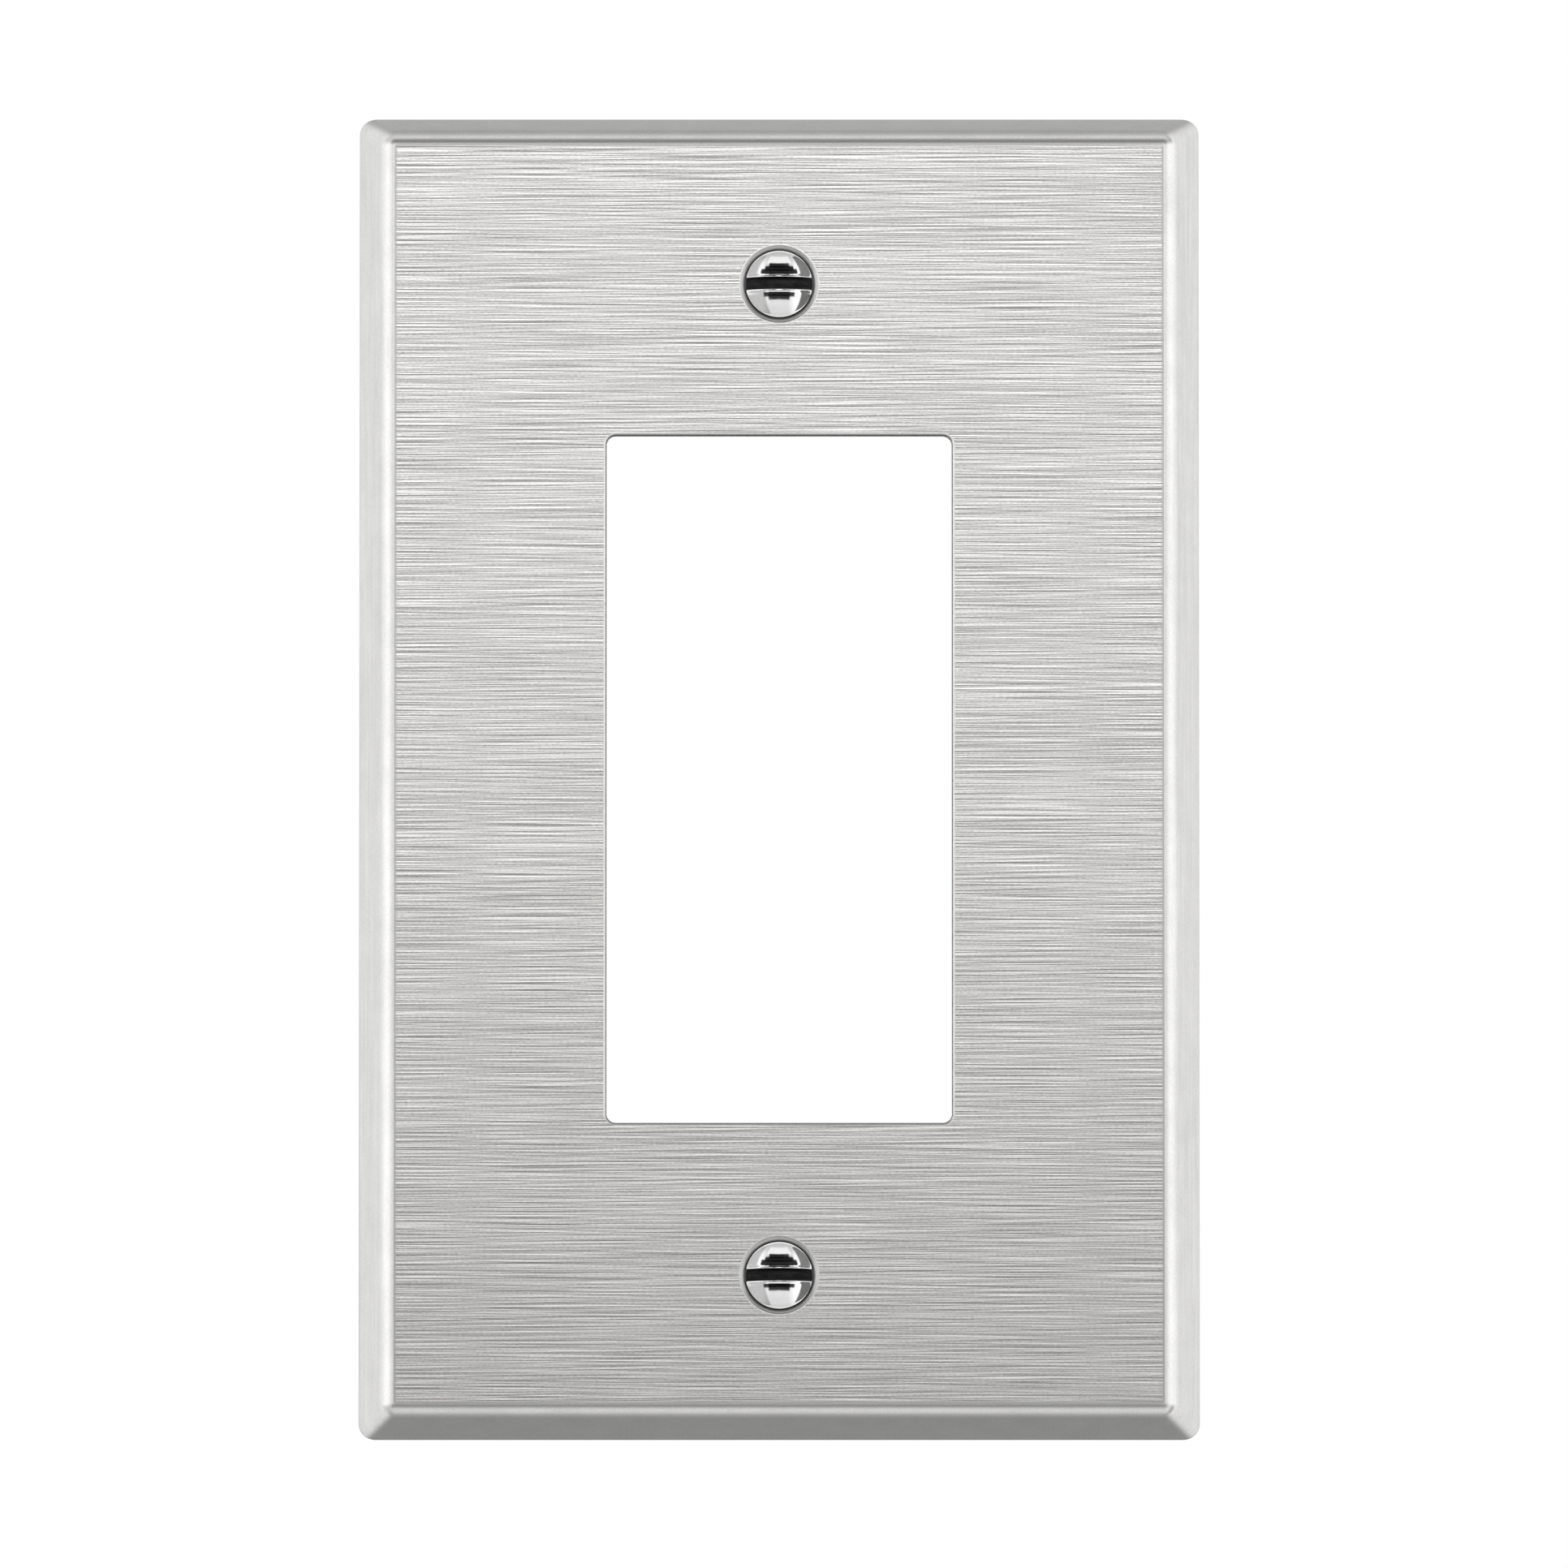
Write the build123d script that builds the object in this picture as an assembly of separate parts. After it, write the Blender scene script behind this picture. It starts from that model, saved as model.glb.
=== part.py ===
from build123d import *

import math
import os

# One-gang wall plate for a rectangular device, with its two oval-head machine screws.
# All lengths are in millimetres.
# Frame: +Z up, the front faces -Y, the wall is the plane y = 0, and the origin is on that
# plane, half way between the two screws and at the middle of the device opening.

# ---- Driving dimensions of the plate --------------------------------------------------
PLATE_WIDTH = 81.7
PLATE_HEIGHT = 129.2
PLATE_DEPTH = 5.3
# The outline's middle stands this much higher than the middle of the opening.
PLATE_RISE = 0.6
SHEET = 0.8
SIDE_FLANK_ANGLE = 64.9
END_FLANK_ANGLE = 69.7
BEND_RADIUS = 1.8

OPENING_WIDTH = 33.5
OPENING_HEIGHT = 67.1
OPENING_CORNER = 0.9
OPENING_EDGE_ROLL = 0.3

# ---- Driving dimensions of the screws and of the dimples that they sit in --------------
SCREW_SPACING = 96.84
CONE_ANGLE = 82.0
DIMPLE_RADIUS = 3.6
DIMPLE_EDGE_ROLL = 0.7
DIMPLE_SHEET = 0.7
DIMPLE_DEPTH = 2.2
SCREW_HOLE_RADIUS = 2.05

HEAD_RADIUS = 3.27
HEAD_LAND = 0.15
HEAD_CROWN = 1.15
HEAD_SEAT_GAP = 0.05
SLOT_WIDTH = 1.16
SLOT_DEPTH = 1.45
THREAD_MAJOR_RADIUS = 1.7425
THREAD_PITCH = 25.4 / 32
THREAD_ANGLE = 60.0
NECK_RADIUS = 1.22
NECK_LENGTH = 1.2
TIP_RADIUS = 1.2
SCREW_LENGTH = 12.7

# ---- Distances that only help to make the shapes ----------------------------------------
# How near an edge's middle has to be to where it is looked for.
PICK_SLACK = 0.1
# How far a cutting block is carried past the surface that it cuts.
OVERCUT = 1.0
# How far the thread's cutting profile is carried past the crest.
GROOVE_OVERCUT = 0.08

# ---- Worked out from the driving dimensions ---------------------------------------------
FACE_Y = -PLATE_DEPTH
# A standard 60 degree screw thread: its depth and the flat at its root, as shares of its pitch.
THREAD_DEPTH = 0.6134 * THREAD_PITCH
THREAD_ROOT_WIDTH = THREAD_PITCH / 8
CONE_SLOPE = math.tan(math.radians(CONE_ANGLE / 2))
# The head's cone stays a small gap inside the dimple's cone, which sets how deep the head sits.
SEAT_GAP_ACROSS = HEAD_SEAT_GAP / math.cos(math.radians(CONE_ANGLE / 2))
HEAD_RECESS = (DIMPLE_RADIUS - HEAD_RADIUS - SEAT_GAP_ACROSS) / CONE_SLOPE - HEAD_LAND
HEAD_EDGE_Y = FACE_Y + HEAD_RECESS


def tray_block(width, height, depth, bend_radius):
    """A solid with a flat front, four sloping flanks and evenly rounded edges, from y = 0 to -depth."""
    side_inset = depth / math.tan(math.radians(SIDE_FLANK_ANGLE))
    end_inset = depth / math.tan(math.radians(END_FLANK_ANGLE))
    wall_side = Plane.XZ * Rectangle(width, height)
    front_side = Plane.XZ.offset(depth) * Rectangle(width - 2 * side_inset, height - 2 * end_inset)
    block = loft([wall_side, front_side], ruled=True)
    rounded = [edge for edge in block.edges() if edge.center().Y < -PICK_SLACK]
    return fillet(rounded, bend_radius)


def sheet_tray():
    """The pressed tray: an outer block less an inner one, one sheet thickness apart everywhere."""
    side_edge = SHEET / math.sin(math.radians(SIDE_FLANK_ANGLE))
    end_edge = SHEET / math.sin(math.radians(END_FLANK_ANGLE))
    # The inner block's flanks are carried down past the wall plane, so that it cuts right through.
    side_extra = OVERCUT / math.tan(math.radians(SIDE_FLANK_ANGLE))
    end_extra = OVERCUT / math.tan(math.radians(END_FLANK_ANGLE))
    outer = tray_block(PLATE_WIDTH, PLATE_HEIGHT, PLATE_DEPTH, BEND_RADIUS)
    inner = tray_block(
        PLATE_WIDTH - 2 * side_edge + 2 * side_extra,
        PLATE_HEIGHT - 2 * end_edge + 2 * end_extra,
        PLATE_DEPTH - SHEET + OVERCUT,
        BEND_RADIUS - SHEET,
    )
    tray = outer - Pos(0, OVERCUT, 0) * inner
    return Pos(0, 0, PLATE_RISE) * tray


def cut_opening(tray):
    """The pierced rectangular opening, with the rounded front edge that a punch leaves."""
    outline = RectangleRounded(OPENING_WIDTH, OPENING_HEIGHT, OPENING_CORNER)
    punch = extrude(Plane.XZ * outline, amount=2 * PLATE_DEPTH)
    pierced = tray - punch
    front_loop = [
        edge
        for edge in pierced.edges()
        if abs(edge.center().Y - FACE_Y) < PICK_SLACK
        and abs(edge.center().X) < OPENING_WIDTH / 2 + PICK_SLACK
        and abs(edge.center().Z) < OPENING_HEIGHT / 2 + PICK_SLACK
    ]
    return fillet(front_loop, OPENING_EDGE_ROLL)


def about_screw_axis(profile, height):
    """Revolves a half profile, drawn as (radius, y), about the screw axis at this height."""
    return Pos(0, 0, height) * revolve(profile, Axis.Y)


def dimple_back(height):
    """The back of the dimple: a blunt cone that stands behind the sheet."""
    across = DIMPLE_SHEET / math.cos(math.radians(CONE_ANGLE / 2))
    start = SHEET / 2
    wide = DIMPLE_RADIUS + across - start * CONE_SLOPE
    narrow = DIMPLE_RADIUS + across - DIMPLE_DEPTH * CONE_SLOPE
    profile = make_face(
        Polyline(
            (0, FACE_Y + start),
            (wide, FACE_Y + start),
            (narrow, FACE_Y + DIMPLE_DEPTH),
            (0, FACE_Y + DIMPLE_DEPTH),
            close=True,
        )
    )
    return about_screw_axis(profile, height)


def dimple_front(height):
    """What is pressed and pierced away in front: rolled edge, cone and clearance hole."""
    turn = math.radians(90 - CONE_ANGLE / 2)
    tangent = DIMPLE_EDGE_ROLL * math.tan(turn / 2)
    rim = (DIMPLE_RADIUS + tangent, FACE_Y)
    cone_top = (
        DIMPLE_RADIUS - tangent * math.cos(turn),
        FACE_Y + tangent * math.sin(turn),
    )
    hole_top = (
        SCREW_HOLE_RADIUS,
        FACE_Y + (DIMPLE_RADIUS - SCREW_HOLE_RADIUS) / CONE_SLOPE,
    )
    past_back = FACE_Y + 2 * DIMPLE_DEPTH
    past_front = FACE_Y - OVERCUT
    outline = [
        TangentArc(rim, cone_top, tangent=(-1, 0)),
        Line(cone_top, hole_top),
        Line(hole_top, (SCREW_HOLE_RADIUS, past_back)),
        Line((SCREW_HOLE_RADIUS, past_back), (0, past_back)),
        Line((0, past_back), (0, past_front)),
        Line((0, past_front), (rim[0], past_front)),
        Line((rim[0], past_front), rim),
    ]
    return about_screw_axis(make_face(outline), height)


def wall_plate():
    """The whole stamping: tray, opening and the two dimples."""
    plate = cut_opening(sheet_tray())
    for height in (SCREW_SPACING / 2, -SCREW_SPACING / 2):
        plate = plate + dimple_back(height)
        plate = plate - dimple_front(height)
    return plate


def thread_groove(start_y, end_y, height):
    """The V groove of a right-hand screw thread, wound about the screw axis at this height."""
    root_radius = THREAD_MAJOR_RADIUS - THREAD_DEPTH
    half_root = THREAD_ROOT_WIDTH / 2
    cut_depth = THREAD_DEPTH + GROOVE_OVERCUT
    half_mouth = half_root + cut_depth * math.tan(math.radians(THREAD_ANGLE / 2))
    vee = Plane.XZ * Polyline(
        (root_radius, -half_root),
        (root_radius, half_root),
        (root_radius + cut_depth, half_mouth),
        (root_radius + cut_depth, -half_mouth),
        close=True,
    )
    path = Helix(THREAD_PITCH, end_y - start_y, root_radius)
    groove = sweep(make_face(vee), path=path, is_frenet=True)
    # A quarter turn keeps the groove's first face off the seam of the shank's surface.
    quarter_turn = Rot(0, 0, 90)
    along_y = Rot(-90, 0, 0)
    return Pos(0, start_y, height) * along_y * quarter_turn * groove


def screw(height):
    """An oval-head slotted machine screw, seated, with its tip pointing to +Y."""
    land_y = HEAD_EDGE_Y + HEAD_LAND
    neck_y = land_y + (HEAD_RADIUS - NECK_RADIUS) / CONE_SLOPE
    neck_end_y = neck_y + NECK_LENGTH
    crest_y = neck_end_y + THREAD_MAJOR_RADIUS - NECK_RADIUS
    tip_y = HEAD_EDGE_Y + SCREW_LENGTH
    tip_crest_y = tip_y - (THREAD_MAJOR_RADIUS - TIP_RADIUS)
    crown_top = (0, HEAD_EDGE_Y - HEAD_CROWN)
    head_edge = (HEAD_RADIUS, HEAD_EDGE_Y)
    crown_ball = (HEAD_RADIUS**2 + HEAD_CROWN**2) / (2 * HEAD_CROWN)
    half_turn = math.asin(HEAD_RADIUS / crown_ball) / 2
    crown_middle = (
        crown_ball * math.sin(half_turn),
        crown_top[1] + crown_ball * (1 - math.cos(half_turn)),
    )
    outline = [
        ThreePointArc(crown_top, crown_middle, head_edge),
        Polyline(
            head_edge,
            (HEAD_RADIUS, land_y),
            (NECK_RADIUS, neck_y),
            (NECK_RADIUS, neck_end_y),
            (THREAD_MAJOR_RADIUS, crest_y),
            (THREAD_MAJOR_RADIUS, tip_crest_y),
            (TIP_RADIUS, tip_y),
            (0, tip_y),
            crown_top,
        ),
    ]
    body = about_screw_axis(make_face(outline), height)
    slot = Pos(0, crown_top[1], height) * Box(4 * HEAD_RADIUS, 2 * SLOT_DEPTH, SLOT_WIDTH)
    # The groove starts and ends in the open, round the thinner neck and past the tip.
    groove = thread_groove(neck_end_y - THREAD_PITCH / 2, tip_y + THREAD_PITCH, height)
    return body - slot - groove


def main():
    os.makedirs("parts", exist_ok=True)
    parts = {
        "wall_plate": wall_plate(),
        "upper_screw": screw(SCREW_SPACING / 2),
        "lower_screw": screw(-SCREW_SPACING / 2),
    }
    for name, shape in parts.items():
        export_step(shape, f"parts/{name}.step")


main()
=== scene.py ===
"""A one-gang brushed steel wall plate with its two chrome oval-head screws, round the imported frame.

Shapes are worked out in millimetres, in the frame's axes: +Z up, the front towards -Y, and the
wall at y = 0. They become metres when a mesh is made.
"""

import math

import bmesh
import bpy
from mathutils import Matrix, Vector
from mathutils.geometry import tessellate_polygon


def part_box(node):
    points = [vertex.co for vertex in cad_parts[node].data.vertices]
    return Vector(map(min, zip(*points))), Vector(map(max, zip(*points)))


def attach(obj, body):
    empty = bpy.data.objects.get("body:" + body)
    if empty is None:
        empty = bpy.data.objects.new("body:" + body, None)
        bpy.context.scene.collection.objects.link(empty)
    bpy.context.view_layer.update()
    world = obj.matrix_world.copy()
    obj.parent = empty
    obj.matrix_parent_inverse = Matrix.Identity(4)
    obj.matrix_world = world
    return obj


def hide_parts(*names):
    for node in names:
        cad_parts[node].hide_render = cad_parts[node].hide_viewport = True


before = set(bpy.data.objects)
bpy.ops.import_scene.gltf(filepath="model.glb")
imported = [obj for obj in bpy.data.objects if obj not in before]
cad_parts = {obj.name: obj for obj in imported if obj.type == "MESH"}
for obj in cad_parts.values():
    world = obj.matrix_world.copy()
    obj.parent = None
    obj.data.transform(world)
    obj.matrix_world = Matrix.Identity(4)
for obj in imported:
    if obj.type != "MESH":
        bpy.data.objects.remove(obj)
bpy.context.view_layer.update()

MM = 0.001

# ---- Sizes read from the frame, in millimetres -------------------------------------------
plate_low, plate_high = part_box("wall_plate")
PLATE_WIDTH = (plate_high.x - plate_low.x) / MM
PLATE_HEIGHT = (plate_high.z - plate_low.z) / MM
PLATE_DEPTH = (plate_high.y - plate_low.y) / MM
PLATE_MIDDLE = (plate_high.z + plate_low.z) / 2 / MM
TIP_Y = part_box("upper_screw")[1].y / MM

# ---- The pressed sheet -----------------------------------------------------------------
SHEET = 0.8
SIDE_TURN = math.radians(64.9)
END_TURN = math.radians(69.7)
BEND_RADIUS = 1.8
WALL_EDGE_ROLL = 0.12
OPENING_HALF_WIDTH = 33.5 / 2
OPENING_HALF_HEIGHT = 67.1 / 2
OPENING_CORNER = 0.9
OPENING_FRONT_ROLL = 0.3
OPENING_BACK_ROLL = 0.08
# The roll on the front edge is smooth for this many steps; after that it takes the dark cut finish,
# painted shade that draws a dark line round the opening.
OPENING_SMOOTH_STEPS = 2
FACE_Y = -PLATE_DEPTH
BACK_Y = FACE_Y + SHEET
# A narrow strip beside every rounded edge keeps the wide flat areas flat in the shading.
SUPPORT = 0.15

# ---- The dimples that the screws sit in -------------------------------------------------
CONE_SLOPE = math.tan(math.radians(82.0 / 2))
DIMPLE_RADIUS = 3.6
DIMPLE_FRONT_ROLL = 0.3
DIMPLE_SHEET = 0.7
DIMPLE_DEPTH = 2.2
SCREW_HOLE_RADIUS = 2.05
SCREW_HOLE_ROLL = 0.05
DIMPLE_SHOULDER_ROLL = 0.22
DIMPLE_FOOT_ROLL = 0.4
SCREW_RISE = 96.84 / 2

# ---- The screws -----------------------------------------------------------------------
HEAD_RADIUS = 3.27
HEAD_LAND = 0.15
# The crown is 0.04 lower than the frame's, which leaves room for the lips beside the slot.
HEAD_CROWN = 1.11
HEAD_EDGE_BREAK = 0.04
SCREW_LENGTH = 12.7
SLOT_HALF_WIDTH = 1.16 / 2
SLOT_DEPTH = 1.41
LIP_ROLL = 0.09
LIP_REACH = 0.36
LIP_HEIGHT = 0.045
THREAD_RADIUS = 1.7425
THREAD_PITCH = 25.4 / 32
THREAD_DEPTH = 0.6134 * THREAD_PITCH
NECK_RADIUS = 1.22
NECK_LENGTH = 1.2
NECK_ROLL = 0.2
TIP_RADIUS = 1.2
HEAD_EDGE_Y = TIP_Y - SCREW_LENGTH
LAND_Y = HEAD_EDGE_Y + HEAD_LAND
SLOT_FLOOR_Y = HEAD_EDGE_Y - HEAD_CROWN + SLOT_DEPTH
CROWN_BALL = (HEAD_RADIUS**2 + HEAD_CROWN**2) / (2 * HEAD_CROWN)

# ---- How finely curves are divided -------------------------------------------------------
BEND_STEPS = 14
CORNER_STEPS = 12
ROLL_STEPS = 6
DIMPLE_STEPS = 96
HEAD_STATIONS = 29
LIP_STEPS = 6
CROWN_STEPS = 12
SLOT_FLOOR_STEPS = 4
# Points nearer than this, in millimetres, become one, and edges shorter than the next are closed up.
WELD = 0.002
SHORTEST_EDGE = 0.0005
# Sharper edges than this stay creases in the shading.
CREASE_ANGLE = math.radians(38)


# ==== Mesh making =========================================================================
class Skin:
    """A closed surface, gathered row by row and then welded into one mesh."""

    def __init__(self):
        self.mesh = bmesh.new()

    def row(self, points):
        return [self.mesh.verts.new(Vector(point) * MM) for point in points]

    def face(self, corners, finish):
        made = self.mesh.faces.new(corners)
        made.material_index = finish
        made.smooth = True

    def strip(self, rows, finish, closed=True):
        """Joins each row of points to the next with four-sided faces."""
        made = [self.row(points) for points in rows]
        for near, far in zip(made, made[1:]):
            count = len(near)
            for i in range(count if closed else count - 1):
                j = (i + 1) % count
                self.face((near[i], near[j], far[j], far[i]), finish)

    def flat(self, loops, finish):
        """Fills a flat upright area, given its outline and the outlines of the holes in it."""
        corners = self.row([point for loop in loops for point in loop])
        for triangle in tessellate_polygon(loops):
            self.face([corners[i] for i in triangle], finish)

    def finished(self, name, materials):
        """Welds the rows, turns every face outwards and marks the creases, as a new object."""
        bmesh.ops.remove_doubles(self.mesh, verts=self.mesh.verts, dist=WELD * MM)
        bmesh.ops.dissolve_degenerate(self.mesh, edges=self.mesh.edges, dist=SHORTEST_EDGE * MM)
        bmesh.ops.recalc_face_normals(self.mesh, faces=self.mesh.faces)
        for edge in self.mesh.edges:
            if edge.is_manifold and edge.calc_face_angle() > CREASE_ANGLE:
                edge.smooth = False
        data = bpy.data.meshes.new(name)
        self.mesh.to_mesh(data)
        self.mesh.free()
        for material in materials:
            data.materials.append(material)
        made = bpy.data.objects.new(name, data)
        bpy.context.scene.collection.objects.link(made)
        return made


def circle(radius, y, angles, height=0.0):
    """Points round the Y axis, or round a parallel to it at this height."""
    return [Vector((radius * math.cos(a), y, height + radius * math.sin(a))) for a in angles]


def all_round(count):
    return [2 * math.pi * i / count for i in range(count)]


def rounded_profile(stops):
    """A profile through stops of (across, y, roll): each corner starts and ends roll away from it."""
    points = []
    for i, (across, y, roll) in enumerate(stops):
        corner = Vector((across, y))
        if not roll:
            points.append(corner)
            continue
        start = corner + (Vector(stops[i - 1][:2]) - corner).normalized() * roll
        end = corner + (Vector(stops[i + 1][:2]) - corner).normalized() * roll
        for k in range(ROLL_STEPS + 1):
            t = k / ROLL_STEPS
            points.append((1 - t) ** 2 * start + 2 * t * (1 - t) * corner + t * t * end)
    return points


def four_corners(corner, middle=0.0):
    """Repeats the points of the +X +Z corner at the other three, in order round this middle height."""
    loop = []
    for sign_x, sign_z in ((1, 1), (-1, 1), (-1, -1), (1, -1)):
        mirrored = [Vector((sign_x * p.x, p.y, middle + sign_z * p.z)) for p in corner]
        if sign_x != sign_z:
            mirrored.reverse()
        loop += mirrored
    return loop


# ==== The wall plate ======================================================================
BRUSHED, SATIN, CUT, BACK = range(4)

# Both skins of the sheet are rolled round the same inner rectangle, whose corner is this far
# from the middle of the plate.
CORE_Y = FACE_Y + BEND_RADIUS
CORE_CORNER = Vector(
    (
        PLATE_WIDTH / 2 + (math.cos(SIDE_TURN) * CORE_Y - BEND_RADIUS) / math.sin(SIDE_TURN),
        CORE_Y,
        PLATE_HEIGHT / 2 + (math.cos(END_TURN) * CORE_Y - BEND_RADIUS) / math.sin(END_TURN),
    )
)
# The brushing runs this many steps round the bend, which is this far across, before it stops.
BRUSHED_STEPS = 1
BRUSHED_ROUND = BEND_RADIUS * math.sin(SIDE_TURN * BRUSHED_STEPS / BEND_STEPS)
# The ridge between two flanks runs this way, outwards and towards the wall.
RIDGE = Vector((1 / math.tan(SIDE_TURN), 1, 1 / math.tan(END_TURN)))


def bend_corner(radius, progress):
    """Points round the plate's corner at one stage of the bend, from 0, the face, to 1, the flank."""
    side = Vector((math.sin(SIDE_TURN * progress), -math.cos(SIDE_TURN * progress), 0))
    end = Vector((0, -math.cos(END_TURN * progress), math.sin(END_TURN * progress)))
    shares = [k / CORNER_STEPS for k in range(CORNER_STEPS + 1)]
    return [CORE_CORNER + radius * side.slerp(end, share) for share in shares]


def carried(corner, y):
    """The same points, carried along the ridge until they reach this y."""
    return [point + RIDGE * (y - point.y) for point in corner]


def between(first, second, share):
    return [a.lerp(b, share) for a, b in zip(first, second)]


def rolled_rows(start, corner, end):
    """Rows that round off the edge between start and end, whose surfaces would meet at corner."""
    rows = []
    for k in range(ROLL_STEPS + 1):
        t = k / ROLL_STEPS
        rows.append(between(between(start, corner, t), between(corner, end, t), t))
    return rows


def plate_rim(skin):
    """The bend and the flanks all round, outside and inside, and the narrow edge on the wall."""
    stages = [k / BEND_STEPS for k in range(BEND_STEPS + 1)]
    outer_bend = [bend_corner(BEND_RADIUS, stage) for stage in stages]
    inner_bend = [bend_corner(BEND_RADIUS - SHEET, stage) for stage in stages]
    outer_wall = carried(outer_bend[-1], 0)
    inner_wall = carried(inner_bend[-1], 0)
    wall_share = WALL_EDGE_ROLL * math.sin(SIDE_TURN) / SHEET
    wall_outside = between(outer_wall, inner_wall, wall_share)
    wall_inside = between(inner_wall, outer_wall, wall_share)
    outer_flank_end = carried(outer_bend[-1], -WALL_EDGE_ROLL)
    inner_flank_end = carried(inner_bend[-1], -WALL_EDGE_ROLL)

    face_edge = [CORE_CORNER + Vector((0, -BEND_RADIUS, 0))] * (CORNER_STEPS + 1)
    back_edge = [CORE_CORNER + Vector((0, SHEET - BEND_RADIUS, 0))] * (CORNER_STEPS + 1)
    inward = Vector((-SUPPORT, 0, -SUPPORT))
    face_support = [point + inward for point in face_edge]
    back_support = [point + inward for point in back_edge]

    outer_rows = outer_bend[BRUSHED_STEPS:] + [outer_flank_end]
    edge_rows = (
        rolled_rows(outer_flank_end, outer_wall, wall_outside)
        + rolled_rows(wall_inside, inner_wall, inner_flank_end)
    )
    inner_rows = [inner_flank_end] + inner_bend[::-1]
    for rows, finish in (
        ([face_support, face_edge] + outer_bend[: BRUSHED_STEPS + 1], BRUSHED),
        (outer_rows, SATIN),
        (edge_rows, CUT),
        (inner_rows, BACK),
        ([back_edge, back_support], BACK),
    ):
        skin.strip([four_corners(row, PLATE_MIDDLE) for row in rows], finish)
    return [four_corners(row[:1], PLATE_MIDDLE) for row in (face_support, back_support)]


def opening_loop(grown, y):
    """The opening's outline, grown by this much all round."""
    corner = OPENING_CORNER + grown
    across = OPENING_HALF_WIDTH - OPENING_CORNER
    up = OPENING_HALF_HEIGHT - OPENING_CORNER
    quarter = [math.pi / 2 * k / CORNER_STEPS for k in range(CORNER_STEPS + 1)]
    return four_corners(
        [Vector((across + corner * math.cos(a), y, up + corner * math.sin(a))) for a in quarter]
    )


def plate_opening(skin):
    """The punched opening: a rolled front edge whose inner part carries painted shade as a dark line,
    the torn wall and a lightly broken back edge.
    """
    front = rounded_profile(
        [
            (OPENING_FRONT_ROLL + SUPPORT, FACE_Y, 0),
            (0, FACE_Y, OPENING_FRONT_ROLL),
            (0, BACK_Y, 0),
        ]
    )[:-1]
    back = rounded_profile(
        [
            (0, FACE_Y, 0),
            (0, BACK_Y, OPENING_BACK_ROLL),
            (OPENING_BACK_ROLL + SUPPORT, BACK_Y, 0),
        ]
    )[1:]
    front_loops = [opening_loop(p.x, p.y) for p in front]
    back_loops = [opening_loop(p.x, p.y) for p in back]
    shaded_from = 1 + OPENING_SMOOTH_STEPS
    skin.strip(front_loops[:2], BRUSHED)
    skin.strip(front_loops[1 : shaded_from + 1], SATIN)
    # The rest of the front roll takes the dark cut finish as painted shade.
    skin.strip(front_loops[shaded_from:], CUT)
    skin.strip([front_loops[-1]] + back_loops[:-1], CUT)
    skin.strip(back_loops[-2:], BACK)
    return front_loops[0], back_loops[-1]


def plate_dimple(skin, height):
    """One dimple: the cone in front, the screw hole, and the blunt cone that stands behind."""
    across = DIMPLE_SHEET / math.cos(math.atan(CONE_SLOPE))
    behind_y = FACE_Y + DIMPLE_DEPTH
    hole_y = FACE_Y + (DIMPLE_RADIUS - SCREW_HOLE_RADIUS) / CONE_SLOPE
    behind_narrow = DIMPLE_RADIUS + across - DIMPLE_DEPTH * CONE_SLOPE
    behind_wide = DIMPLE_RADIUS + across - SHEET * CONE_SLOPE
    turns = all_round(DIMPLE_STEPS)

    def rings(stops):
        return [circle(p.x, p.y, turns, height) for p in rounded_profile(stops)]

    face_support = circle(DIMPLE_RADIUS + DIMPLE_FRONT_ROLL + SUPPORT, FACE_Y, turns, height)
    front = rings(
        [
            (DIMPLE_RADIUS + 2 * DIMPLE_FRONT_ROLL, FACE_Y, 0),
            (DIMPLE_RADIUS, FACE_Y, DIMPLE_FRONT_ROLL),
            (SCREW_HOLE_RADIUS, hole_y, SCREW_HOLE_ROLL),
            (SCREW_HOLE_RADIUS, behind_y, 0),
        ]
    )[1:-1]
    behind = rings(
        [
            (SCREW_HOLE_RADIUS, hole_y, 0),
            (SCREW_HOLE_RADIUS, behind_y, SCREW_HOLE_ROLL),
            (behind_narrow, behind_y, DIMPLE_SHOULDER_ROLL),
            (behind_wide, BACK_Y, DIMPLE_FOOT_ROLL),
            (behind_wide + DIMPLE_FOOT_ROLL + SUPPORT, BACK_Y, 0),
        ]
    )[1:]
    skin.strip([face_support, front[0]], BRUSHED)
    skin.strip(front, SATIN)
    skin.strip([front[-1], behind[0]], CUT)
    skin.strip(behind, BACK)
    return face_support, behind[-1]


def build_cover_sheet(materials):
    skin = Skin()
    openings = [plate_opening(skin)]
    for screw in ("upper_screw", "lower_screw"):
        openings.append(plate_dimple(skin, screw_height(screw)))
    outlines = [plate_rim(skin)] + openings
    skin.flat([front for front, _ in outlines], BRUSHED)
    skin.flat([back for _, back in outlines], BACK)
    return skin.finished("cover_sheet", materials)


# ==== The screws ==========================================================================
HEAD, SLOT, THREAD = range(3)


def screw_height(node):
    """Height of a screw's axis, in millimetres."""
    low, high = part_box(node)
    return (low.z + high.z) / 2 / MM


def crown_y(radius):
    """The ball-shaped front of the head at this distance from the axis."""
    return HEAD_EDGE_Y - HEAD_CROWN + CROWN_BALL - math.sqrt(CROWN_BALL**2 - radius**2)


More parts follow.
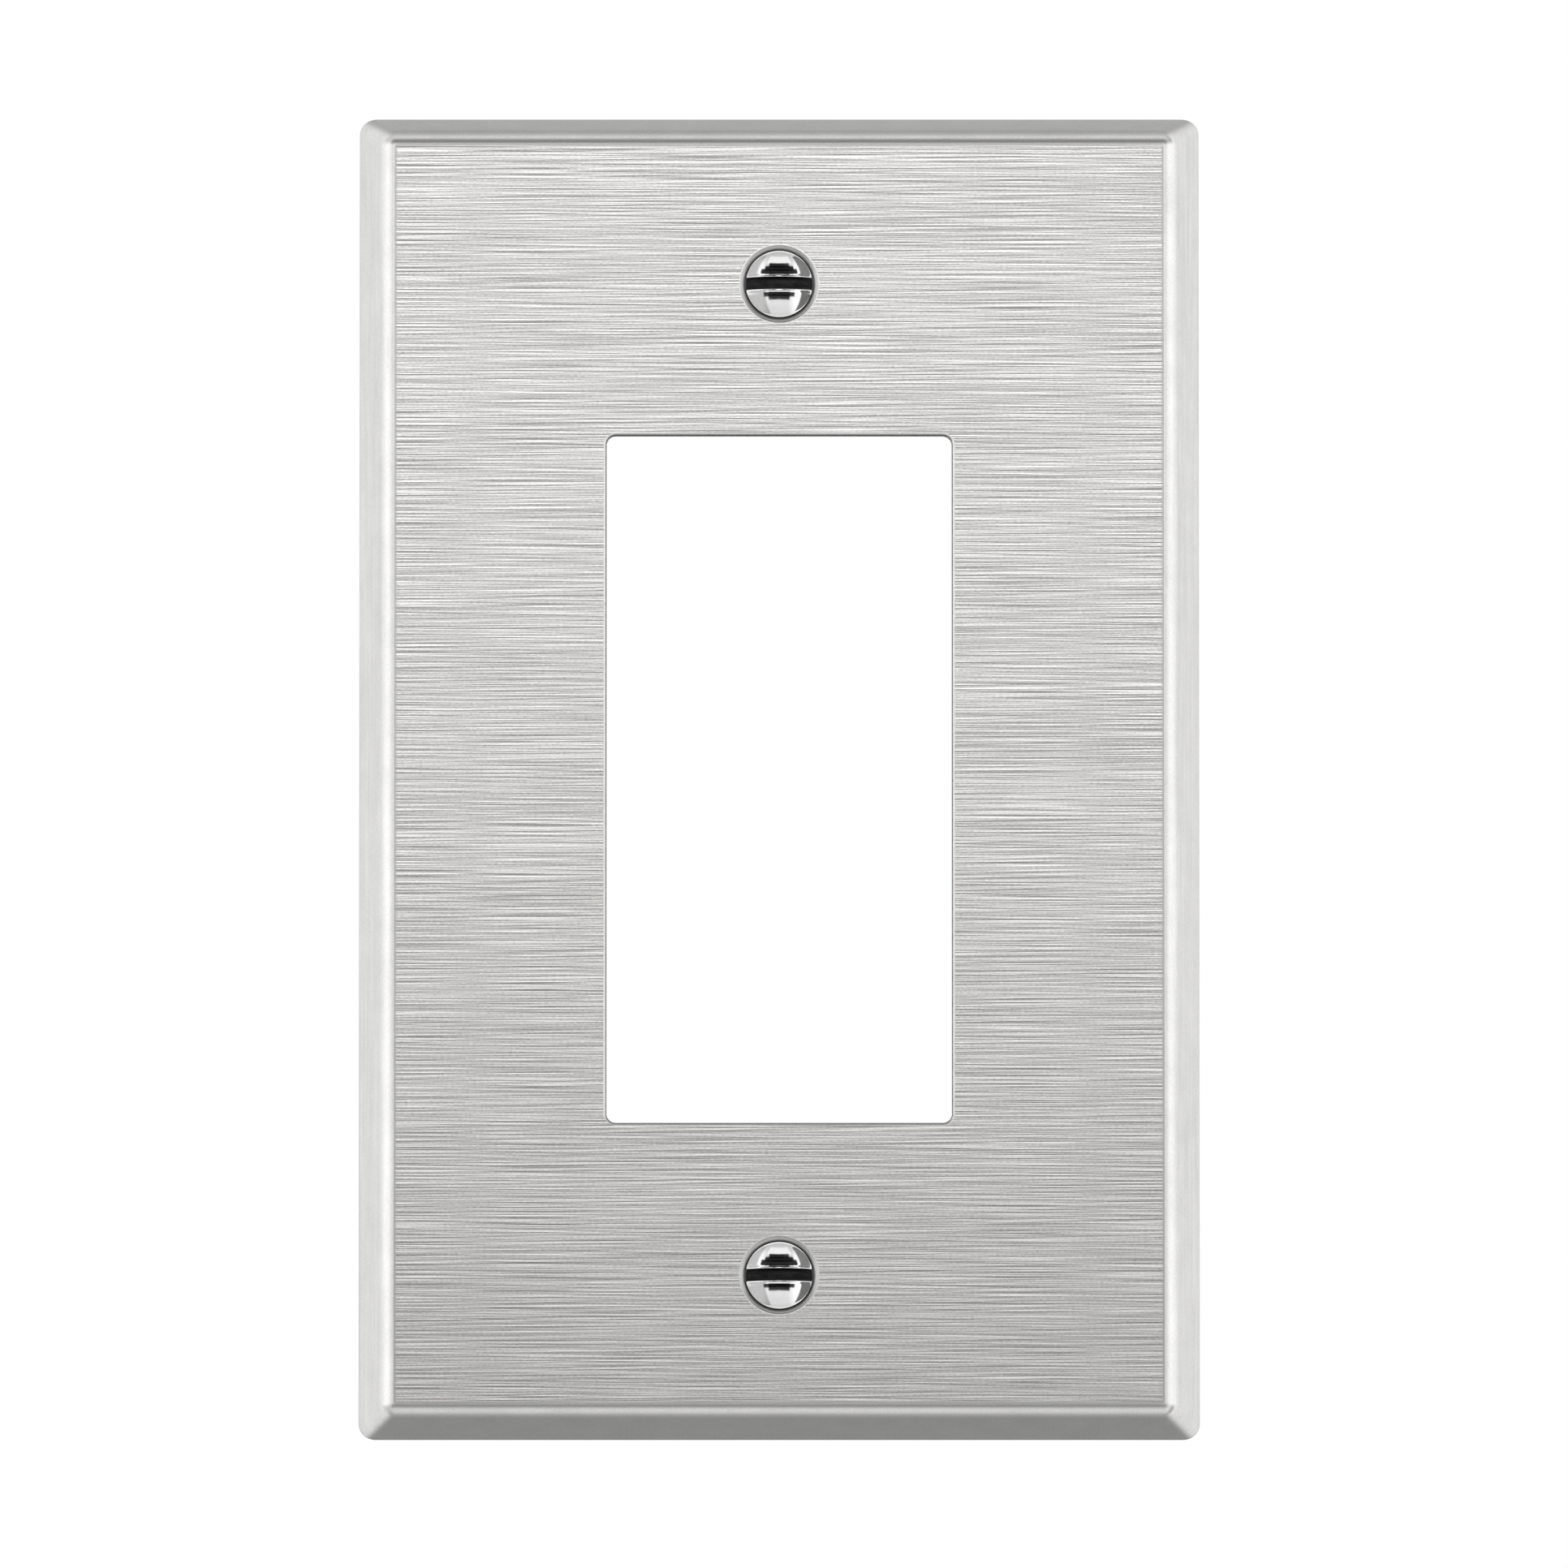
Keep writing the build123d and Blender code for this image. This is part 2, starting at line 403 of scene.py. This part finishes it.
def head_levels():
    """Rows down the side of the head: (y, head radius, slot wall's distance from the middle)."""
    edge_radius = HEAD_RADIUS - HEAD_EDGE_BREAK
    edge_y = crown_y(edge_radius)
    levels = []
    for k in range(ROLL_STEPS + 1):
        turn = math.pi / 2 * k / ROLL_STEPS
        share = k / ROLL_STEPS
        levels.append(
            (
                edge_y + LIP_ROLL * (1 - math.cos(turn)),
                HEAD_RADIUS - HEAD_EDGE_BREAK * (1 - share) ** 2,
                SLOT_HALF_WIDTH + LIP_ROLL * (1 - math.sin(turn)),
            )
        )
    floor_radius = HEAD_RADIUS - (SLOT_FLOOR_Y - LAND_Y) * CONE_SLOPE
    levels.append((LAND_Y, HEAD_RADIUS, SLOT_HALF_WIDTH))
    levels.append((SLOT_FLOOR_Y, floor_radius, SLOT_HALF_WIDTH))
    return levels


def arc_angles(radius, half_slot):
    """Angles of the stations round the upper half of the head, from slot edge to slot edge."""
    start = math.asin(half_slot / radius)
    span = math.pi - 2 * start
    return [start + span * i / (HEAD_STATIONS - 1) for i in range(HEAD_STATIONS)]


def lip(x, from_slot, reach):
    """How far the burr beside the slot stands proud: most at the slot, nothing at the head's rim."""
    across = min(1.0, max(0.0, (from_slot - LIP_ROLL) / (LIP_REACH - LIP_ROLL)))
    along = max(0.0, 1 - abs(x / reach) ** 6)
    return LIP_HEIGHT * along * (1 + math.cos(math.pi * across)) / 2


def crown_point(x, z, reach):
    y = crown_y(math.hypot(x, z)) - lip(x, z - SLOT_HALF_WIDTH, reach)
    return Vector((x, y, z))


def half_head(skin, sign):
    """The crown, the rim and the slot's wall on one side of the slot, above it or below it."""
    levels = head_levels()
    _, edge_radius, edge_slot = levels[0]
    reach = edge_radius * math.cos(math.asin(edge_slot / edge_radius))
    stations = [edge_radius * math.cos(a) for a in arc_angles(edge_radius, edge_slot)]

    def placed(rows):
        return [[Vector((p.x, p.y, sign * p.z)) for p in row] for row in rows]

    lip_width = LIP_REACH - LIP_ROLL
    from_slot = [edge_slot + lip_width * k / LIP_STEPS for k in range(LIP_STEPS + 1)]
    rims = [math.sqrt(edge_radius**2 - x**2) for x in stations]
    crown_rows = []
    for z in from_slot:
        crown_rows.append([crown_point(x, min(z, rim), reach) for x, rim in zip(stations, rims)])
    for k in range(1, CROWN_STEPS + 1):
        row = []
        for x in stations:
            rim = math.sqrt(max(edge_radius**2 - x**2, edge_slot**2))
            inner = min(from_slot[-1], rim)
            row.append(crown_point(x, inner + (rim - inner) * k / CROWN_STEPS, reach))
        crown_rows.append(row)
    skin.strip(placed(crown_rows), HEAD, closed=False)

    side_rows = [circle(radius, y, arc_angles(radius, slot)) for y, radius, slot in levels]
    skin.strip(placed(side_rows), HEAD, closed=False)

    wall_rows = []
    roll_end_y = levels[ROLL_STEPS][0]
    for y, radius, slot in levels:
        row = []
        narrowed = math.sqrt(radius**2 - slot**2) / reach
        share = max(0.0, (y - roll_end_y) / (SLOT_FLOOR_Y - roll_end_y))
        for x in stations:
            top_y = crown_point(x, edge_slot, reach).y - levels[0][0]
            row.append(Vector((x * narrowed, y + top_y * (1 - share), slot)))
        wall_rows.append(row)
    skin.strip(placed(wall_rows[: ROLL_STEPS + 1]), HEAD, closed=False)
    skin.strip(placed(wall_rows[ROLL_STEPS:]), SLOT, closed=False)


def slot_floor_rows(floor_radius):
    """Rows across the slot's floor, from its upper wall to its lower wall."""
    _, edge_radius, edge_slot = head_levels()[0]
    stations = [math.cos(a) for a in arc_angles(edge_radius, edge_slot)]
    rows = []
    for k in range(SLOT_FLOOR_STEPS + 1):
        z = SLOT_HALF_WIDTH * (1 - 2 * k / SLOT_FLOOR_STEPS)
        reach = math.sqrt(floor_radius**2 - z**2) / stations[0]
        rows.append([Vector((x * reach, SLOT_FLOOR_Y, z)) for x in stations])
    return rows


def thread_rows(angles):
    """Rows that wind round the shank: the crest and the root of a right-hand thread."""
    start_y = LAND_Y + (HEAD_RADIUS - NECK_RADIUS) / CONE_SLOPE + NECK_LENGTH
    # Share of a pitch from the middle of the root, and share of the depth there.
    half_tooth = ((0.0, 0.0), (0.045, 0.02), (0.09, 0.1), (0.4, 0.95), (0.43, 1.0), (0.5, 1.0))
    tooth = list(half_tooth) + [(1 - phase, depth) for phase, depth in half_tooth[-2:0:-1]]
    # The winding starts a turn before the shank and ends past the tip, and is held between the two.
    turns = math.ceil((TIP_Y - start_y) / THREAD_PITCH) + 2
    rows = []
    for turn in range(turns):
        for phase, depth in tooth:
            row = []
            for angle in list(angles) + [angles[0] + 2 * math.pi]:
                wound = (angle - angles[0]) / (2 * math.pi)
                y = start_y + THREAD_PITCH * (turn + phase - wound)
                y = min(max(y, start_y), TIP_Y)
                widest = min(NECK_RADIUS + y - start_y, TIP_RADIUS + TIP_Y - y)
                radius = min(THREAD_RADIUS - THREAD_DEPTH * (1 - depth), widest)
                row.append(Vector((radius * math.cos(angle), y, radius * math.sin(angle))))
            rows.append(row)
    return rows


def build_screw_mesh(name, materials):
    """One whole screw about the Y axis: head, slot, neck, thread and tip."""
    skin = Skin()
    for sign in (1, -1):
        half_head(skin, sign)
    _, floor_radius, _ = head_levels()[-1]
    floor = slot_floor_rows(floor_radius)
    skin.strip(floor, SLOT, closed=False)

    upper = arc_angles(floor_radius, SLOT_HALF_WIDTH)
    slot_ends = [math.asin(row[0].z / floor_radius) for row in floor[1:-1]]
    angles = upper + [math.pi - a for a in slot_ends]
    angles += [math.pi + a for a in upper] + [2 * math.pi - a for a in slot_ends]
    neck_y = LAND_Y + (HEAD_RADIUS - NECK_RADIUS) / CONE_SLOPE
    under_head = rounded_profile(
        [
            (floor_radius, SLOT_FLOOR_Y, 0),
            (NECK_RADIUS, neck_y, NECK_ROLL),
            (NECK_RADIUS, neck_y + NECK_LENGTH, 0),
        ]
    )
    skin.strip([circle(p.x, p.y, angles) for p in under_head[:2]], HEAD)
    skin.strip([circle(p.x, p.y, angles) for p in under_head[1:]], THREAD)
    skin.strip(thread_rows(angles), THREAD, closed=False)
    # A ring just inside the tip's edge keeps the flat end flat in the shading.
    tip_rings = [circle(TIP_RADIUS * share, TIP_Y, angles) for share in (1, 0.85, 0)]
    skin.strip(tip_rings, THREAD)
    return skin.finished(name, materials)


# ==== Node trees ==========================================================================
class Wiring:
    """The nodes of a material or of the studio, with short ways to add more of them."""

    def __init__(self, owner):
        owner.use_nodes = True
        self.nodes = owner.node_tree.nodes
        self.links = owner.node_tree.links
        self.coordinates = self.nodes.new("ShaderNodeTexCoord").outputs

    def node(self, kind, values, operation=None):
        """Adds a node, sets or links its inputs, and gives its first output."""
        made = self.nodes.new(kind)
        if operation:
            made.operation = operation
        for key, value in values.items():
            if isinstance(value, bpy.types.NodeSocket):
                self.links.new(value, made.inputs[key])
            else:
                made.inputs[key].default_value = value
        return made.outputs[0]

    def math(self, operation, first, second=0.0, third=0.0):
        return self.node("ShaderNodeMath", {0: first, 1: second, 2: third}, operation)

    def part(self, vector, axis):
        split = self.nodes.new("ShaderNodeSeparateXYZ")
        self.links.new(vector, split.inputs[0])
        return split.outputs[axis]

    def ramp(self, value, low, high, out_low=0.0, out_high=1.0):
        """Turns low..high into out_low..out_high, smoothly and no further."""
        values = {
            "Value": value,
            "From Min": low,
            "From Max": high,
            "To Min": out_low,
            "To Max": out_high,
        }
        made = self.node("ShaderNodeMapRange", values)
        made.node.interpolation_type = "SMOOTHSTEP"
        return made


# ==== Materials ===========================================================================
class Finish(Wiring):
    """A metal material with short ways to add the nodes of its grain."""

    def __init__(self, name, roughness):
        self.material = bpy.data.materials.new(name)
        super().__init__(self.material)
        self.shader = self.nodes["Principled BSDF"]
        self.shader.inputs["Metallic"].default_value = 1.0
        self.shader.inputs["Roughness"].default_value = roughness
        scaled = {0: self.coordinates["Object"], "Scale": 1 / MM}
        self.place = self.node("ShaderNodeVectorMath", scaled, "SCALE")
        self.normal = self.coordinates["Normal"]

    def length(self, vector):
        made = self.nodes.new("ShaderNodeVectorMath")
        made.operation = "LENGTH"
        self.links.new(vector, made.inputs[0])
        return made.outputs["Value"]

    def grain(self, size, detail=2.0, seed=0.0, place=None, lift=0.0):
        """Noise from 0 to 1 whose marks are about this long each way, in millimetres."""
        spaced = self.node(
            "ShaderNodeMapping",
            {
                "Vector": place or self.place,
                "Location": (seed, seed, seed + lift / size[2]),
                "Scale": [1 / length for length in size],
            },
        )
        values = {"Vector": spaced, "Scale": 1.0, "Detail": detail, "Roughness": 0.6}
        return self.node("ShaderNodeTexNoise", values)

    def scratches(self, size, detail, seed, place):
        """Fine lines, each paired with a fainter opposite one beside it, so that no bands form."""
        fainter = 0.64
        apart = 1.9 * size[2]
        lines = self.grain(size, detail, seed, place)
        beside = self.grain(size, detail, seed, place, lift=apart)
        return self.math("MULTIPLY_ADD", beside, -fainter, self.math("ADD", lines, fainter / 2))

    def total(self, *weighted):
        """Adds up (value, weight) pairs, each value taken about its middle of 0.5."""
        result = 0.5
        for value, weight in weighted:
            swing = self.math("SUBTRACT", value, 0.5)
            result = self.math("MULTIPLY_ADD", swing, weight, result)
        return result

    def colour(self, value, dark, light):
        """Shades from dark to light as value goes from 0 to 1."""
        made = self.nodes.new("ShaderNodeMix")
        made.data_type = "RGBA"
        self.links.new(value, made.inputs["Factor"])
        # The node's colours are its inputs 6 and 7 and its output 2.
        made.inputs[6].default_value = (*dark, 1)
        made.inputs[7].default_value = (*light, 1)
        self.links.new(made.outputs[2], self.shader.inputs["Base Color"])

    def roughness(self, value):
        self.links.new(value, self.shader.inputs["Roughness"])

    def relief(self, height, depth):
        """Shades as if the surface rose by this depth, in millimetres, as height goes from 0 to 1."""
        made = self.nodes.new("ShaderNodeBump")
        made.inputs["Distance"].default_value = depth * MM
        self.links.new(height, made.inputs["Height"])
        self.links.new(made.outputs[0], self.shader.inputs["Normal"])


def brushed_finish():
    """The face: fine horizontal brushing, a little wavy, that fades out where the bend begins into a
    darker band of painted shade.
    """
    sway = 0.15
    fade_width = 0.25
    # Where the brushing stops the face takes this darker tone, painted shade for the dark band at the
    # start of the bend.
    unbrushed_shaded_tone = 0.35
    finish = Finish("brushed_face", 0.42)
    finish.shader.inputs["Anisotropic"].default_value = 0.6
    finish.shader.inputs["Anisotropic Rotation"].default_value = 0.25
    wave = finish.grain((30, 5, 5), detail=1.0, seed=3.0)
    shift = finish.math("MULTIPLY", finish.math("SUBTRACT", wave, 0.5), sway)
    lifted = finish.node("ShaderNodeCombineXYZ", {"X": 0.0, "Y": 0.0, "Z": shift})
    wavy = finish.node("ShaderNodeVectorMath", {0: finish.place, 1: lifted}, "ADD")
    hairs = finish.scratches((10, 5, 0.06), 1.0, 11.0, wavy)
    fine = finish.scratches((15, 5, 0.12), 0.0, 19.0, wavy)
    breaks = finish.grain((0.35, 5, 0.08), detail=1.0, seed=29.0, place=wavy)
    middling = finish.grain((26, 5, 0.3), detail=1.0, seed=23.0, place=wavy)
    broad = finish.grain((60, 5, 2.5), detail=1.0, seed=37.0, place=wavy)
    tone = finish.total((hairs, 2.25), (fine, 1.05), (breaks, 0.7), (middling, 0.28), (broad, 0.18))

    across = finish.math("ABSOLUTE", finish.part(finish.place, "X"))
    up = finish.math("ABSOLUTE", finish.math("SUBTRACT", finish.part(finish.place, "Z"), PLATE_MIDDLE))
    past_side = finish.ramp(across, CORE_CORNER.x - fade_width, CORE_CORNER.x + BRUSHED_ROUND)
    past_end = finish.ramp(up, CORE_CORNER.z - fade_width, CORE_CORNER.z + BRUSHED_ROUND)
    unbrushed = finish.math("MAXIMUM", past_side, past_end)
    kept = finish.math("SUBTRACT", 1.0, unbrushed)
    swing = finish.math("SUBTRACT", tone, unbrushed_shaded_tone)
    tone = finish.math("MULTIPLY_ADD", swing, kept, unbrushed_shaded_tone)
    finish.colour(tone, (0.292, 0.289, 0.282), (0.785, 0.777, 0.761))
    finish.roughness(finish.ramp(tone, 0.0, 1.0, 0.46, 0.38))
    finish.relief(tone, 0.003)
    return finish.material


def satin_finish():
    """The rim and the dimples: smooth, with a fine grain and faint streaks along the side rims."""
    finish = Finish("satin_rim", 0.34)
    grain = finish.grain((0.2, 0.2, 0.2), detail=2.0, seed=5.0)
    patches = finish.grain((3, 3, 3), detail=2.0, seed=8.0)
    drawn = finish.grain((0.5, 0.5, 14), detail=2.0, seed=17.0)
    on_side = finish.math("ABSOLUTE", finish.part(finish.normal, "X"))
    drawn_on_side = finish.math(
        "MULTIPLY_ADD", finish.math("SUBTRACT", drawn, 0.5), on_side, 0.5
    )
    tone = finish.total((grain, 0.2), (patches, 0.12), (drawn_on_side, 0.25))
    # Painted shade in the crevice round each head, thinning out over the dimple.
    painted_shade_starts = HEAD_RADIUS - 0.04
    painted_shade_ends = HEAD_RADIUS + 0.75
    up = finish.math("SUBTRACT", finish.math("ABSOLUTE", finish.part(finish.place, "Z")), SCREW_RISE)
    flat = finish.node("ShaderNodeCombineXYZ", {"X": finish.part(finish.place, "X"), "Y": 0.0, "Z": up})
    unshaded = finish.ramp(finish.length(flat), painted_shade_starts, painted_shade_ends)
    tone = finish.math("MULTIPLY", tone, unshaded)
    finish.colour(tone, (0.24, 0.239, 0.235), (0.99, 0.985, 0.972))
    finish.roughness(finish.ramp(tone, 0.3, 0.7, 0.38, 0.32))
    finish.relief(grain, 0.002)
    return finish.material


def cut_finish():
    """Sheared edges: torn and dark grey, with lines across the sheet."""
    finish = Finish("cut_edge", 0.35)
    tears = finish.grain((0.12, 1.5, 0.12), detail=3.0, seed=2.0)
    tone = finish.total((tears, 1.4))
    finish.colour(tone, (0.1, 0.1, 0.1), (0.3, 0.3, 0.295))
    finish.roughness(finish.ramp(tone, 0.2, 0.8, 0.45, 0.25))
    finish.relief(tone, 0.01)
    return finish.material


def back_finish():
    """The back: plain rolled sheet, duller, with faint rolling lines and cloudy patches."""
    finish = Finish("plain_back", 0.4)
    rolling = finish.grain((20, 5, 0.35), detail=3.0, seed=41.0)
    clouds = finish.grain((14, 14, 14), detail=3.0, seed=43.0)
    speckle = finish.grain((0.25, 0.25, 0.25), detail=1.0, seed=47.0)
    tone = finish.total((rolling, 0.7), (clouds, 0.8), (speckle, 0.4))
    finish.colour(tone, (0.36, 0.36, 0.36), (0.68, 0.678, 0.67))
    finish.roughness(finish.ramp(tone, 0.2, 0.8, 0.48, 0.34))
    finish.relief(tone, 0.003)
    return finish.material


def chrome_finish():
    """The polished screw head: mirror bright, with hairline wear and faint smears."""
    finish = Finish("polished_head", 0.06)
    hairlines = finish.grain((1.6, 1.6, 0.05), detail=2.0, seed=61.0)
    smears = finish.grain((0.9, 0.9, 0.9), detail=3.0, seed=67.0)
    tone = finish.total((hairlines, 0.5), (smears, 0.6))
    finish.colour(tone, (0.54, 0.54, 0.538), (0.68, 0.68, 0.677))
    finish.roughness(finish.ramp(tone, 0.35, 0.75, 0.05, 0.12))
    finish.relief(smears, 0.002)
    return finish.material


def slot_finish():
    """Inside the slot: unpolished metal whose near black colour is painted shade, with milling lines
    along the slot.
    """
    finish = Finish("slot_shadow", 0.5)
    milled = finish.grain((3, 0.08, 0.08), detail=2.0, seed=79.0)
    patches = finish.grain((1.2, 0.6, 0.6), detail=2.0, seed=83.0)
    tone = finish.total((milled, 0.8), (patches, 0.9))
    finish.colour(tone, (0.004, 0.004, 0.004), (0.04, 0.04, 0.04))
    finish.roughness(finish.ramp(tone, 0.2, 0.8, 0.6, 0.45))
    finish.relief(milled, 0.01)
    return finish.material


def thread_finish():
    """The threaded shank: dull plating, dark in the root of the thread and bright on its crest."""
    finish = Finish("plated_thread", 0.28)
    sideways = finish.node("ShaderNodeVectorMath", {0: finish.place, 1: (1, 0, 1)}, "MULTIPLY")
    # Darker towards the root of the thread and lighter towards its crest.
    root_to_crest = finish.ramp(finish.length(sideways), THREAD_RADIUS - THREAD_DEPTH, THREAD_RADIUS)
    grain = finish.grain((0.3, 0.3, 0.3), detail=3.0, seed=71.0)
    drawn = finish.grain((0.8, 0.06, 0.8), detail=2.0, seed=73.0)
    tone = finish.total((grain, 0.6), (drawn, 0.4), (root_to_crest, 0.6))
    finish.colour(tone, (0.36, 0.36, 0.355), (0.82, 0.82, 0.81))
    finish.roughness(finish.ramp(tone, 0.2, 0.9, 0.4, 0.2))
    finish.relief(grain, 0.004)
    return finish.material


def floor_finish():
    """A plain pale floor with a barely visible mottle."""
    finish = Finish("pale_floor", 0.8)
    finish.shader.inputs["Metallic"].default_value = 0.0
    mottle = finish.grain((60, 60, 60), detail=2.0, seed=7.0)
    finish.colour(mottle, (0.8, 0.8, 0.8), (0.86, 0.86, 0.86))
    return finish.material


# ==== The object ==========================================================================
plate_materials = [brushed_finish(), satin_finish(), cut_finish(), back_finish()]
cover_sheet = build_cover_sheet(plate_materials)
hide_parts("wall_plate")
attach(cover_sheet, "plate")

screw_materials = [chrome_finish(), slot_finish(), thread_finish()]
for node in ("upper_screw", "lower_screw"):
    screw = build_screw_mesh(f"{node}_turned", screw_materials)
    screw.location = (0, 0, screw_height(node) * MM)
    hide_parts(node)
    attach(screw, node)


# ==== Floor, light and camera ===============================================================
# These distances are in metres. The camera looks a little upwards, so the floor lies below and
# behind its line of sight.
FLOOR_DROP = 0.19
FLOOR_RADIUS = 1.2
CAMERA_DISTANCE = 4.2
CAMERA_ELEVATION = math.radians(-6.41)
# The picture is square, and this wide and high where the object stands.
FRAME_HEIGHT = 0.1524
# The camera points a little to the right of the plate's middle and a little below it.
AIM = Vector((0.00047, 0, PLATE_MIDDLE * MM - 0.00051))


def add_floor():
    disc = bmesh.new()
    bmesh.ops.create_circle(disc, cap_ends=True, segments=128, radius=FLOOR_RADIUS)
    data = bpy.data.meshes.new("floor")
    disc.to_mesh(data)
    disc.free()
    data.materials.append(floor_finish())
    floor = bpy.data.objects.new("floor", data)
    floor.location.z = -FLOOR_DROP
    # The metal mirrors the grey of the studio here, and not the floor.
    floor.visible_glossy = False
    bpy.context.scene.collection.objects.link(floor)


def add_softbox(name, place, target, size, spread, power):
    """A rectangular light at this place, turned to the target, whose beam spreads by these degrees."""
    light = bpy.data.lights.new(name, "AREA")
    light.shape = "RECTANGLE"
    light.size, light.size_y = size
    light.spread = math.radians(spread)
    light.energy = power
    lamp = bpy.data.objects.new(name, light)
    lamp.location = place
    aim = Vector(target) - Vector(place)
    lamp.rotation_euler = aim.to_track_quat("-Z", "Y").to_euler()
    lamp.visible_camera = False
    bpy.context.scene.collection.objects.link(lamp)


class Surround(Wiring):
    """The studio round the object, as brightness by direction."""

    def __init__(self):
        world = bpy.data.worlds.new("soft_studio")
        bpy.context.scene.world = world
        super().__init__(world)
        direction = self.coordinates["Generated"]
        self.across = self.part(direction, "X")
        self.back = self.part(direction, "Y")
        self.up = self.part(direction, "Z")
        self.azimuth = self.math("ARCTAN2", self.across, self.math("MULTIPLY", self.back, -1.0))
        self.elevation = self.math("ARCSINE", self.up)

    def levels(self, angle, stops):
        """Brightness at each of these angles, in degrees, and smoothly between them."""
        turn = self.math("MULTIPLY_ADD", angle, 1 / (2 * math.pi), 0.5)
        made = self.nodes.new("ShaderNodeValToRGB")
        self.links.new(turn, made.inputs[0])
        ramp = made.color_ramp
        ramp.interpolation = "EASE"
        while len(ramp.elements) < len(stops):
            ramp.elements.new(0.5)
        for element, (degrees, level) in zip(ramp.elements, stops):
            element.position = degrees / 360 + 0.5
            element.color = (level, level, level, 1)
        return made.outputs[0]

    def panel(self, left, right, low, high, soft):
        """1 inside a rectangle of directions, in degrees, fading to 0 over soft degrees outside."""
        faded = math.radians(soft)
        result = 1.0
        for angle, start, end in (
            (self.azimuth, math.radians(left), math.radians(right)),
            (self.elevation, math.radians(low), math.radians(high)),
        ):
            risen = self.ramp(angle, start - faded, start)
            fallen = self.ramp(angle, end, end + faded, 1.0, 0.0)
            result = self.math("MULTIPLY", result, self.math("MULTIPLY", risen, fallen))
        return result


def add_surround():
    """Bright in front and at the sides, grey behind and below, and dark where the camera stands."""
    studio = Surround()
    over_the_top = studio.math("ARCTAN2", studio.up, studio.math("MULTIPLY", studio.back, -1.0))
    # Brightness along the upright circle: -90 is straight down, 0 the front and 90 straight up.
    upright = studio.levels(
        over_the_top,
        (
            (-180, 0.42),
            (-100, 0.4),
            (-80, 0.5),
            (-55, 1.15),
            (-28, 1.25),
            (46, 1.0),
            (66, 0.95),
            (88, 0.6),
            (110, 0.5),
            (146, 0.6),
        ),
    )
    beside = studio.ramp(studio.math("ABSOLUTE", studio.across), 0.27, 0.6)
    side_level = studio.ramp(studio.back, -0.6, 0.5, 1.75, 1.15)
    gain = studio.math("SUBTRACT", side_level, upright)
    level = studio.math("MULTIPLY_ADD", gain, beside, upright)
    # Cards on the camera's side: edges and softness in degrees, and what they multiply the
    # brightness by. Three dark ones above the camera, and two below it, stack up into the shapes
    # that the screw heads mirror beside the slot.
    for left, right, low, high, soft, factor in (
        (-41, 41, 20, 34, 3, 0.03),
        (-34, 34, 34, 41, 3, 0.03),
        (-25, 25, 41, 48, 3, 0.03),
        (-32, 32, 50, 63, 4, 1.5),
        (-32, 32, -19, -10, 4, 0.05),
        (-22, 22, -26, -19, 4, 0.05),
        (-12, 12, -6, 17, 4, 0.2),
        (-62, -18, -6, 17, 4, 1.08),
        (18, 62, -6, 17, 4, 1.08),
        (50, 74, 24, 60, 3, 0.2),
        (50, 74, -60, -12, 3, 0.15),
        (-80, -54, 26, 60, 8, 0.5),
        (-80, -34, -64, -16, 8, 0.5),
    ):
        shape = studio.panel(left, right, low, high, soft)
        level = studio.math("MULTIPLY", level, studio.math("MULTIPLY_ADD", shape, factor - 1, 1.0))

    light_path = studio.nodes.new("ShaderNodeLightPath")
    seen = light_path.outputs["Is Camera Ray"]
    unseen = studio.math("SUBTRACT", 1.0, seen)
    # What the camera itself sees behind the object is plain white.
    strength = studio.math("MULTIPLY_ADD", level, unseen, seen)
    background = studio.nodes["Background"]
    background.inputs["Color"].default_value = (1, 1, 1, 1)
    studio.links.new(strength, background.inputs["Strength"])


def add_camera():
    data = bpy.data.cameras.new("camera")
    data.sensor_width = 36
    data.lens = data.sensor_width * CAMERA_DISTANCE / FRAME_HEIGHT
    data.clip_start = 0.1
    data.clip_end = 20
    camera = bpy.data.objects.new("camera", data)
    offset = Vector((0, -math.cos(CAMERA_ELEVATION), math.sin(CAMERA_ELEVATION)))
    camera.location = AIM + CAMERA_DISTANCE * offset
    camera.rotation_euler = (math.pi / 2 - CAMERA_ELEVATION, 0, 0)
    bpy.context.scene.collection.objects.link(camera)
    bpy.context.scene.camera = camera


add_floor()
add_softbox(
    "upper_light",
    place=(0, -0.9, 0.15),
    target=(0, 0, 0.08),
    size=(0.6, 0.28),
    spread=20,
    power=0.069,
)
add_surround()
add_camera()
bpy.context.scene.view_settings.view_transform = "Standard"
